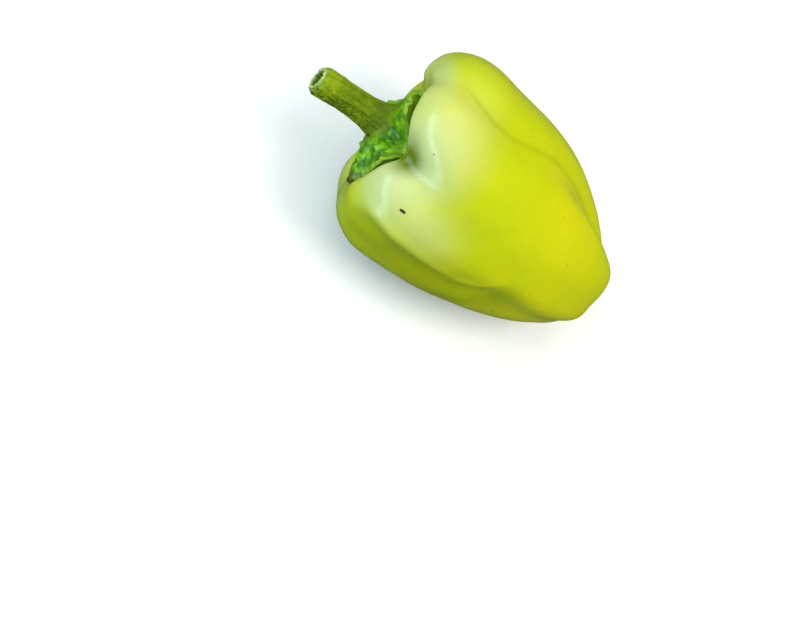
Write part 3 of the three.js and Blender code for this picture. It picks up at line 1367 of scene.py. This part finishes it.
    def _crinkle(self, angles: np.ndarray, radius: np.ndarray, share: float) -> np.ndarray:
        """Height of the ribs, blisters and wrinkles.

        Args:
            angles: angles around the core.
            radius: distances from the core.
            share: 0 at the stem, 1 at the edge.

        Returns:
            Heights in metres.
        """
        place = around(angles, radius, 0.0)
        blisters, wrinkles = self._folds(place)
        swell = min(1.0, self.crinkle_start + self.crinkle_stretch * share)
        middle = math.sqrt(math.sin(math.pi * swell)) * (1.0 - self._stalky(angles, share))
        raised = self.blister_height * blisters + self.wrinkle_height * wrinkles - self.sinking
        ribs = self.rib_height * self._ribs(angles) * share
        return ribs + raised * middle + self.grain.at(place)

    def _edge_top(self, angles: np.ndarray) -> np.ndarray:
        """Height of the lip's upper side at each angle, before crinkling."""
        reach = self._edge_radius(angles)
        return self._skin_height(angles, reach) + self._lift(angles) + self.thickness

    def _top(self, angles: np.ndarray, share: float) -> tuple[np.ndarray, np.ndarray]:
        """Radius and height of the upper side.

        Args:
            angles: angles around the core.
            share: 0 inside the stem's foot, 1 at the edge.

        Returns:
            Radii and heights.
        """
        reach = self._edge_radius(angles)
        radius = self.inner_radius + (reach - self.inner_radius) * share
        cone = self._edge_top(angles) * share**self.slope_power
        ground = self._skin_height(angles, radius)
        past_sleeve = np.maximum(radius - self.sleeve_radius, 0.0)
        sleeve = self.sleeve_height * np.exp(-past_sleeve / self.sleeve_fade)
        height = np.maximum(cone, ground + self.least_thickness)
        return radius, height + self._crinkle(angles, radius, share) + sleeve

    def _ring(self, angles: np.ndarray, row: int) -> np.ndarray:
        """One ring of the collar; see grown_mesh.

        Args:
            angles: the ring's angles.
            row: the row, from the top pole down.

        Returns:
            N x 3 own positions.
        """
        slope_end = 1 + self.slope_rows
        edge_end = slope_end + self.edge_rows
        if row <= slope_end:
            radius, height = self._top(angles, max(0.0, (row - 1) / self.slope_rows))
            return around(angles, radius * (row > 0), height)
        reach, lip = self._top(angles, 1.0)
        sweep = math.pi * min(1.0, (row - slope_end) / self.edge_rows)
        half = 0.5 * self.thickness
        share = 1.0 - max(0, row - edge_end) / self.under_rows
        radius = self.inner_radius + (reach - self.inner_radius) * share + math.sin(sweep) * half
        height = lip - half * (1.0 - math.cos(sweep))
        if row > edge_end:
            seat = self._skin_height(angles, radius) - self.sunk
            above = height - self._skin_height(angles, reach) + self.sunk
            hang = 1.0 - smoothstep(0.0, self.lip_underside, reach - radius)
            height = seat + np.maximum(above, 0.0) * hang
        return around(angles, radius * (row < edge_end + self.under_rows), height)

    def _zones(self, mesh: bpy.types.Mesh) -> None:
        """Stores the painted shade in the folds, the pale lip that is partly painted highlight, and
        where the points are brown.

        Args:
            mesh: the calyx's mesh.
        """
        own = self.home.own(per_vertex(mesh, "co"))
        radius, angle = polar(own)
        reach = self._edge_radius(angle)
        blisters, wrinkles = self._folds(own * np.array([1.0, 1.0, 0.0]))
        # Painted shade in the folds between blisters and between wrinkles.
        fold_shade = self.blister_shade * smoothstep(*self.blister_fold, blisters)
        fold_shade = fold_shade + self.wrinkle_shade * smoothstep(*self.wrinkle_fold, wrinkles)
        paint(mesh, "fold_shade", np.clip(fold_shade, 0.0, 1.0))
        # Pale lip at the edge, partly painted highlight.
        paint(mesh, "lip", smoothstep(*self.lip_zone, radius / reach))
        share = (radius - self.inner_radius) / (reach - self.inner_radius)
        paint(mesh, "stalky", self._stalky(angle, share))
        tip = facing(angle, self.tip_side) * smoothstep(*self.tip_zone, radius / reach)
        spot = facing(angle, self.spot_side) * smoothstep(*self.spot_zone, radius / reach)
        paint(mesh, "browned", np.clip(tip + self.spot_share * spot, 0.0, 1.0))


# ---- Stem ----------------------------------------------------------------------------------------


@dataclass
class Stem:
    """The ribbed stalk with its flared foot and its cut end."""

    home: FruitFrame
    finish: StemFinish = StemFinish()
    length: float = 28.5 * MM
    base_height: float = -1.2 * MM
    bend: float = 1.8 * MM
    # The side, from the flared foot to the rounded end.
    foot_radius: float = 7.6 * MM
    neck_radius: float = 4.75 * MM
    end_radius: float = 5.5 * MM
    flare_height: float = 4.6 * MM
    spread_side: Side = (45.0, 45.0)
    spread: float = 2.2 * MM
    rounding: float = 1.3 * MM
    rounded_part: Span = (0.90, 1.0)
    # Ribs, furrows and knots.
    twist: float = 14.0
    ribs: int = 5
    rib_turn: float = 20.0
    rib_depth: float = 0.38 * MM
    rib_at_foot: float = 0.4
    furrows: Hills = Hills(0.20, 2.0)
    furrow_depth: float = 0.34 * MM
    furrow_drift: float = 0.35
    scratches: Hills = Hills(0.07, 3.0, 0.12 * MM)
    knots: Hills = Hills(0.30, 8.0, 0.16 * MM)
    knot_shortness: float = 9.0
    ring_place: float = 0.76
    ring_width: float = 0.03
    ring_height: float = 0.16 * MM
    # The cut end and its hollow.
    bevel: float = 0.5 * MM
    hollow_radius: float = 3.3 * MM
    hollow_depth: float = 3.0 * MM
    hollow_waves: Hills = Hills(0.35, 15.0, 0.5 * MM)
    hollow_wall: Span = (1.12, 0.72)
    torn: Hills = Hills(0.2, 12.0, 0.3 * MM)
    droop: float = 0.2 * MM
    # Colour zones.
    cut_zone: Span = (1.1 * MM, 0.6 * MM)
    cut_shade: float = 0.25
    raw_ring: float = 1.08
    raw_width: float = 0.5 * MM
    pith_zone: Span = (1.05, 0.9)
    pith_depth: Span = (4.0 * MM, 3.0 * MM)
    furrow_zone: Span = (-0.12, -0.45)
    furrow_shade: float = 0.32
    blotched_side: Side = (-70.0, 50.0)
    least_blotched: float = 0.25
    sleeve_zone: Span = (-0.04, 0.05)
    columns: int = 160
    wall_rows: int = 90
    cut_rows: int = 14

    def build(self) -> bpy.types.Object:
        """Builds and dresses the stem.

        Returns:
            The finished piece.
        """
        rows = self.cut_rows + self.wall_rows + 2
        piece = grown_mesh("stem_stalk", self.columns, rows, self._ring, self.home)
        self._zones(piece.data)
        piece.data.materials.append(self.finish.material())
        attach(piece, BODY)
        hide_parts("stem")
        return piece

    def _bow(self, height: np.ndarray) -> np.ndarray:
        """How far the stalk bends to one side at a height above its foot."""
        return self.bend * (height / self.length) ** 2

    def _along_grain(self, angles: np.ndarray, share: np.ndarray | float) -> np.ndarray:
        """Points in which the noise of the furrows is read, so that it runs along the stalk.

        Args:
            angles: angles around the core.
            share: 0 at the foot, 1 at the cut end.

        Returns:
            N x 3 points.
        """
        return around(angles + self.twist * share, 1.0, self.furrow_drift * share)

    def _wall_radius(self, angles: np.ndarray, share: float) -> np.ndarray:
        """Radius of the stalk's side.

        Args:
            angles: angles around the core.
            share: 0 at the foot, 1 at the cut end.

        Returns:
            Radii in metres.
        """
        flare = math.exp(-share * self.length / self.flare_height)
        shaft = self.neck_radius + (self.end_radius - self.neck_radius) * share**3
        shaft = shaft - self.rounding * float(smoothstep(*self.rounded_part, share)) ** 2
        spread = self.spread * facing(angles, self.spread_side) * flare
        plain = shaft + (self.foot_radius - shaft) * flare + spread
        grain = self._along_grain(angles, share)
        waves = np.cos(np.radians(self.ribs * (angles + self.twist * share) + self.rib_turn))
        strength = self.rib_at_foot + (1.0 - self.rib_at_foot) * share
        ribs = self.rib_depth * waves * strength
        furrows = self.furrow_depth * self.furrows.at(grain) + self.scratches.at(grain)
        knots = self.knots.at(grain * np.array([1.0, 1.0, self.knot_shortness]))
        ring = self.ring_height * float(bump(share - self.ring_place, self.ring_width))
        return plain + ribs + furrows + knots + ring

    def _cut(self, angles: np.ndarray, share: float) -> tuple[np.ndarray, np.ndarray]:
        """Radius and height of the cut end.

        Args:
            angles: angles around the core.
            share: 0 in the middle, 1 at the rim.

        Returns:
            Radii, and heights above the foot.
        """
        radius = (self._wall_radius(angles, 1.0) - self.bevel) * share
        circle = around(angles, share, 0.0)
        opening = self.hollow_radius + self.hollow_waves.at(circle)
        inside = smoothstep(opening * self.hollow_wall[0], opening * self.hollow_wall[1], radius)
        height = self.length - self.hollow_depth * inside + self.torn.at(circle)
        return radius, height - self.droop * share**8

    def _ring(self, angles: np.ndarray, row: int) -> np.ndarray:
        """One ring of the stalk; see grown_mesh.

        Args:
            angles: the ring's angles.
            row: the row, from the top pole down.

        Returns:
            N x 3 own positions.
        """
        if row <= self.cut_rows:
            radius, height = self._cut(angles, row / self.cut_rows)
        elif row <= self.cut_rows + self.wall_rows:
            share = 1.0 - (row - self.cut_rows - 1) / (self.wall_rows - 1)
            radius = self._wall_radius(angles, share)
            height = np.full_like(angles, (self.length - self.bevel) * share)
        else:
            radius = height = 0.0 * angles
        places = around(angles, radius, self.base_height + height)
        places[:, 1] -= self._bow(height)
        return places

    def _zones(self, mesh: bpy.types.Mesh) -> None:
        """Stores the cut end, its hollow, the furrows, the blotched side and the smooth end.

        Args:
            mesh: the stem's mesh.
        """
        own = self.home.own(per_vertex(mesh, "co"))
        height = own[:, 2] - self.base_height
        own[:, 1] += self._bow(height)
        radius, angle = polar(own)
        below_end = self.length - height
        raw = bump(radius - self.raw_ring * self.hollow_radius, self.raw_width)
        cut = self.cut_shade + (1.0 - self.cut_shade) * raw
        paint(mesh, "cut", smoothstep(*self.cut_zone, below_end) * cut)
        inside = smoothstep(*self.pith_zone, radius / self.hollow_radius)
        paint(mesh, "pith", inside * smoothstep(*self.pith_depth, below_end))
        share = height / self.length
        furrows = self.furrows.at(self._along_grain(angle, share))
        paint(mesh, "furrow", self.furrow_shade * smoothstep(*self.furrow_zone, furrows))
        more = (1.0 - self.least_blotched) * facing(angle, self.blotched_side)
        paint(mesh, "blotched", self.least_blotched + more)
        paint(mesh, "sleeve", smoothstep(*self.sleeve_zone, share - self.ring_place))


# ---- Dried style and specks ----------------------------------------------------------------------


@dataclass
class StyleStub:
    """The dried end of the style in the blossom pit."""

    home: FruitFrame
    finish: DriedFinish = DriedFinish()
    base_height: float = -89.6 * MM
    length: float = 3.6 * MM
    base_radius: float = 1.15 * MM
    tip_radius: float = 0.45 * MM
    taper_power: float = 0.7
    lean: float = 0.8 * MM
    full_from: float = 1.0 / 12.0
    rounded_from: float = 0.85
    wrinkles: Hills = Hills(0.5, 1.0, 0.28)
    wrinkle_drift: float = 2.0
    columns: int = 40
    rows: int = 26

    def build(self) -> bpy.types.Object:
        """Builds and dresses the stub.

        Returns:
            The finished piece.
        """
        piece = grown_mesh("dried_style", self.columns, self.rows, self._ring, self.home)
        piece.data.materials.append(self.finish.material())
        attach(piece, BODY)
        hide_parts("style_stub")
        return piece

    def _ring(self, angles: np.ndarray, row: int) -> np.ndarray:
        """One ring of the stub; see grown_mesh.

        Args:
            angles: the ring's angles.
            row: the row, from the top pole down.

        Returns:
            N x 3 own positions.
        """
        share = row / self.rows
        taper = self.tip_radius - self.base_radius
        plain = self.base_radius + taper * share**self.taper_power
        past = max(0.0, (share - self.rounded_from) / (1.0 - self.rounded_from))
        closing = math.sqrt(max(0.0, 1.0 - past**2)) * (row < self.rows)
        opening = min(1.0, share / self.full_from)
        wrinkle = 1.0 + self.wrinkles.at(around(angles, 1.0, self.wrinkle_drift * share))
        height = self.base_height - self.length * share
        places = around(angles, plain * closing * opening * wrinkle, height)
        places[:, 0] += self.lean * share**2
        return places


@dataclass
class SkinSpecks:
    """Tiny dark specks on the skin, scattered by a Geometry Nodes tree, and one larger fleck."""

    home: FruitFrame
    finish: DriedFinish = DriedFinish()
    density: float = 600.0
    speck_radius: float = 0.24 * MM
    least_stretch: Triple = (0.5, 0.4, 0.2)
    greatest_stretch: Triple = (1.7, 0.9, 0.35)
    seed: int = 7
    fleck_angle: float = -33.5
    fleck_height: float = -14.0 * MM
    fleck_radii: Triple = (1.25 * MM, 0.5 * MM, 0.12 * MM)
    fleck_waves: float = 0.22
    fleck_wave_rate: float = 1.7

    def build(self, skin: bpy.types.Object) -> bpy.types.Object:
        """Builds and dresses the specks.

        Args:
            skin: the fruit's skin, on which the specks lie.

        Returns:
            The finished piece.
        """
        helper = add_object("speck_ground", skin.data)
        modifier = helper.modifiers.new("scatter", "NODES")
        modifier.node_group = self._tree()
        sockets = {item.name: item.identifier for item in modifier.node_group.interface.items_tree}
        modifier[sockets["Density"]] = self.density
        modifier[sockets["Radius"]] = self.speck_radius
        modifier[sockets["Seed"]] = self.seed
        mesh = evaluated_copy(helper, "skin_specks")
        bpy.data.objects.remove(helper)
        mesh.materials.clear()
        mesh.materials.append(self.finish.material())
        mesh.polygons.foreach_set("material_index", [0] * len(mesh.polygons))
        piece = add_object("skin_specks", mesh)
        self._add_fleck(piece, skin)
        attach(piece, BODY)
        return piece

    def _tree(self) -> bpy.types.GeometryNodeTree:
        """Builds the tree that scatters the specks.

        Returns:
            The node tree, with inputs Density, Radius and Seed.
        """
        tree = bpy.data.node_groups.new("scatter_specks", "GeometryNodeTree")
        kinds = {"Geometry": "Geometry", "Density": "Float", "Radius": "Float", "Seed": "Int"}
        for name, kind in kinds.items():
            tree.interface.new_socket(name, in_out="INPUT", socket_type=f"NodeSocket{kind}")
        tree.interface.new_socket("Geometry", in_out="OUTPUT", socket_type="NodeSocketGeometry")
        bench = NodeBench(tree)
        given = bench.add("NodeGroupInput").outputs
        result = bench.add("NodeGroupOutput").inputs
        scatter = bench.add("GeometryNodeDistributePointsOnFaces", distribute_method="RANDOM")
        bench.feed(scatter.inputs["Mesh"], given["Geometry"])
        bench.feed(scatter.inputs["Density"], given["Density"])
        bench.feed(scatter.inputs["Seed"], given["Seed"])
        grain = bench.add("GeometryNodeMeshIcoSphere")
        bench.feed(grain.inputs["Radius"], given["Radius"])
        bench.feed(grain.inputs["Subdivisions"], 2)
        stretch = bench.add("FunctionNodeRandomValue", data_type="FLOAT_VECTOR")
        bench.feed(stretch.inputs[0], self.least_stretch)
        bench.feed(stretch.inputs[1], self.greatest_stretch)
        bench.feed(stretch.inputs["Seed"], given["Seed"])
        place = bench.add("GeometryNodeInstanceOnPoints")
        bench.feed(place.inputs["Points"], scatter.outputs["Points"])
        bench.feed(place.inputs["Instance"], grain.outputs["Mesh"])
        bench.feed(place.inputs["Rotation"], scatter.outputs["Rotation"])
        bench.feed(place.inputs["Scale"], stretch.outputs[0])
        real = bench.add("GeometryNodeRealizeInstances")
        bench.feed(real.inputs[0], place.outputs[0])
        dress = bench.add("GeometryNodeSetMaterial")
        dress.inputs["Material"].default_value = self.finish.material()
        bench.feed(dress.inputs["Geometry"], real.outputs[0])
        bench.feed(result[0], dress.outputs[0])
        return tree

    def _add_fleck(self, piece: bpy.types.Object, skin: bpy.types.Object) -> None:
        """Joins the larger fleck, flat on the skin, to the specks.

        Args:
            piece: the specks.
            skin: the fruit's skin.
        """
        well_outside = 60.0 * MM
        radii = np.array([well_outside, 0.0])
        line = around(np.full(2, self.fleck_angle), radii, self.fleck_height)
        start, inner = (Vector(place) for place in self.home.place(line))
        hit, spot, normal, _face = skin.ray_cast(start, (inner - start).normalized())
        if not hit:
            raise RuntimeError("the fleck missed the skin")
        mesh = bmesh.new()
        mesh.from_mesh(piece.data)
        along = self.home.across.cross(normal).normalized()
        side = normal.cross(along)
        long, wide, thick = self.fleck_radii
        turned = Matrix((along * long, side * wide, normal * thick)).transposed().to_4x4()
        made = bmesh.ops.create_icosphere(mesh, subdivisions=3, radius=1.0)["verts"]
        for vertex in made:
            wave = self.fleck_waves * noise.noise(vertex.co * self.fleck_wave_rate)
            vertex.co = turned @ vertex.co * (1.0 + wave) + spot
        mesh.to_mesh(piece.data)
        mesh.free()
        shade_smooth(piece.data)


# ---- Studio --------------------------------------------------------------------------------------


@dataclass(frozen=True)
class Panel:
    """A soft light panel that faces the fruit.

    Attributes:
        name: the light's name.
        way: direction from the fruit, as shares of the view's right, up and towards.
        size: width and height of the panel in metres.
        distance: distance from the fruit in metres.
        power: power in watts.
        colour: colour of the light.
        mirrored: whether glossy surfaces mirror the panel.
        lean: how far the panel's top leans to the view's right.
    """

    name: str
    way: Triple
    size: tuple[float, float]
    distance: float
    power: float
    colour: Triple
    mirrored: bool = False
    lean: float = 0.0


@dataclass
class Studio:
    """Floor, lights and camera."""

    home: FruitFrame
    stem_lean: float = 24.0
    stem_turn: float = 142.3
    lens: float = 100.0
    sensor: float = 36.0
    view_width: float = 268.0 * MM
    aim_right: float = 6.7 * MM
    aim_down: float = 66.2 * MM
    nearest_seen: float = 10.0 * MM
    floor_size: float = 6.0
    floor_colour: Colour = (0.97, 0.97, 0.965, 1.0)
    floor_bounce: Colour = (0.16, 0.19, 0.05, 1.0)
    floor_roughness: float = 0.7
    panels: tuple[Panel, ...] = (
        Panel("window", (-0.64, 0.14, 0.70), (0.32, 1.9), 1.0, 7.5, (0.42, 0.68, 1.0), True, 0.33),
        Panel("window_fill", (-0.64, 0.14, 0.70), (0.6, 1.9), 1.0, 5.0, (0.78, 0.93, 1.0)),
        Panel("skylight", (0.05, 0.60, 0.78), (1.4, 1.1), 1.1, 7.0, (1.0, 0.99, 0.93)),
        Panel("warm_fill", (0.72, -0.12, 0.68), (0.8, 0.8), 1.3, 12.0, (1.0, 0.95, 0.80)),
    )
    lit_depth: float = 45.0 * MM
    world_colour: Colour = (0.97, 0.99, 1.0, 1.0)
    world_strength: float = 0.36
    world_gloss: float = 0.04

    def build(self) -> None:
        """Builds the camera, the floor and the lights."""
        self._axes()
        self._camera()
        self._floor()
        for panel in self.panels:
            self._light(panel)
        self._world()
        settings = bpy.context.scene.view_settings
        settings.view_transform = "Standard"
        settings.look = "None"

    def _axes(self) -> None:
        """Works out the view's right, up and towards directions from how the fruit is seen."""
        lean = math.radians(self.stem_lean)
        turn = math.radians(self.stem_turn)
        self.towards = self.home.ahead * math.cos(lean) + self.home.core * math.sin(lean)
        stemward = (self.home.core - self.towards * math.sin(lean)) / math.cos(lean)
        self.right = stemward * math.cos(turn) + self.home.across * math.sin(turn)
        self.up = stemward * math.sin(turn) - self.home.across * math.cos(turn)

    def _camera(self) -> None:
        """Places the camera."""
        data = bpy.data.cameras.new("camera")
        data.lens = self.lens
        data.sensor_width = self.sensor
        data.clip_start = self.nearest_seen
        camera = add_object("camera", data)
        distance = self.view_width * self.lens / self.sensor
        aim = self.home.crest + self.right * self.aim_right - self.up * self.aim_down
        turned = Matrix((self.right, self.up, self.towards)).transposed().to_4x4()
        camera.matrix_world = Matrix.Translation(aim + self.towards * distance) @ turned
        bpy.context.scene.camera = camera

    def _floor(self) -> None:
        """Makes the plain pale floor, which bounces the duller light of what lies around."""
        half = self.floor_size / 2.0
        mesh = bpy.data.meshes.new("floor")
        corners = [(-half, -half, 0.0), (half, -half, 0.0), (half, half, 0.0), (-half, half, 0.0)]
        mesh.from_pydata(corners, [], [(0, 1, 2, 3)])
        floor = add_object("floor", mesh)
        material = bpy.data.materials.new("pale_floor")
        material.use_nodes = True
        bench = NodeBench(material.node_tree)
        shader = material.node_tree.nodes["Principled BSDF"].inputs
        seen = bench.add("ShaderNodeLightPath").outputs["Is Camera Ray"]
        bench.feed(shader["Base Color"], bench.blend(seen, self.floor_bounce, self.floor_colour))
        shader["Roughness"].default_value = self.floor_roughness
        mesh.materials.append(material)

    def _light(self, panel: Panel) -> None:
        """Places one light.

        Args:
            panel: the light.
        """
        data = bpy.data.lights.new(panel.name, "AREA")
        data.shape = "RECTANGLE"
        data.size, data.size_y = panel.size
        data.energy = panel.power
        data.color = panel.colour
        light = add_object(panel.name, data)
        light.visible_glossy = panel.mirrored
        right, up, towards = panel.way
        direction = (self.right * right + self.up * up + self.towards * towards).normalized()
        middle = self.home.crest - self.home.core * self.lit_depth
        upward = self.up + self.right * panel.lean
        height_axis = (upward - direction * upward.dot(direction)).normalized()
        width_axis = height_axis.cross(direction)
        turned = Matrix((width_axis, height_axis, direction)).transposed().to_4x4()
        light.matrix_world = Matrix.Translation(middle + direction * panel.distance) @ turned

    def _world(self) -> None:
        """Makes the surrounding light, which gloss mirrors only faintly."""
        world = bpy.data.worlds.new("surroundings")
        bpy.context.scene.world = world
        world.use_nodes = True
        bench = NodeBench(world.node_tree)
        background = world.node_tree.nodes["Background"].inputs
        background["Color"].default_value = self.world_colour
        glossy = bench.add("ShaderNodeLightPath").outputs["Is Glossy Ray"]
        dimming = bench.math("MULTIPLY", glossy, self.world_strength - self.world_gloss)
        bench.feed(background["Strength"], bench.math("SUBTRACT", self.world_strength, dimming))


# ---- Main ----------------------------------------------------------------------------------------


def main() -> None:
    """Builds the fruit piece by piece, then the studio around it."""
    logging.basicConfig(level=logging.INFO, format="%(name)s: %(message)s")
    home = FruitFrame()
    skin = FruitSkin(home).build()
    pieces = [skin, Calyx(home).build(skin), Stem(home).build(), StyleStub(home).build()]
    pieces.append(SkinSpecks(home).build(skin))
    for piece in pieces:
        log.info("%s: %d faces", piece.name, len(piece.data.polygons))
    Studio(home).build()


if __name__ == "__main__":
    main()
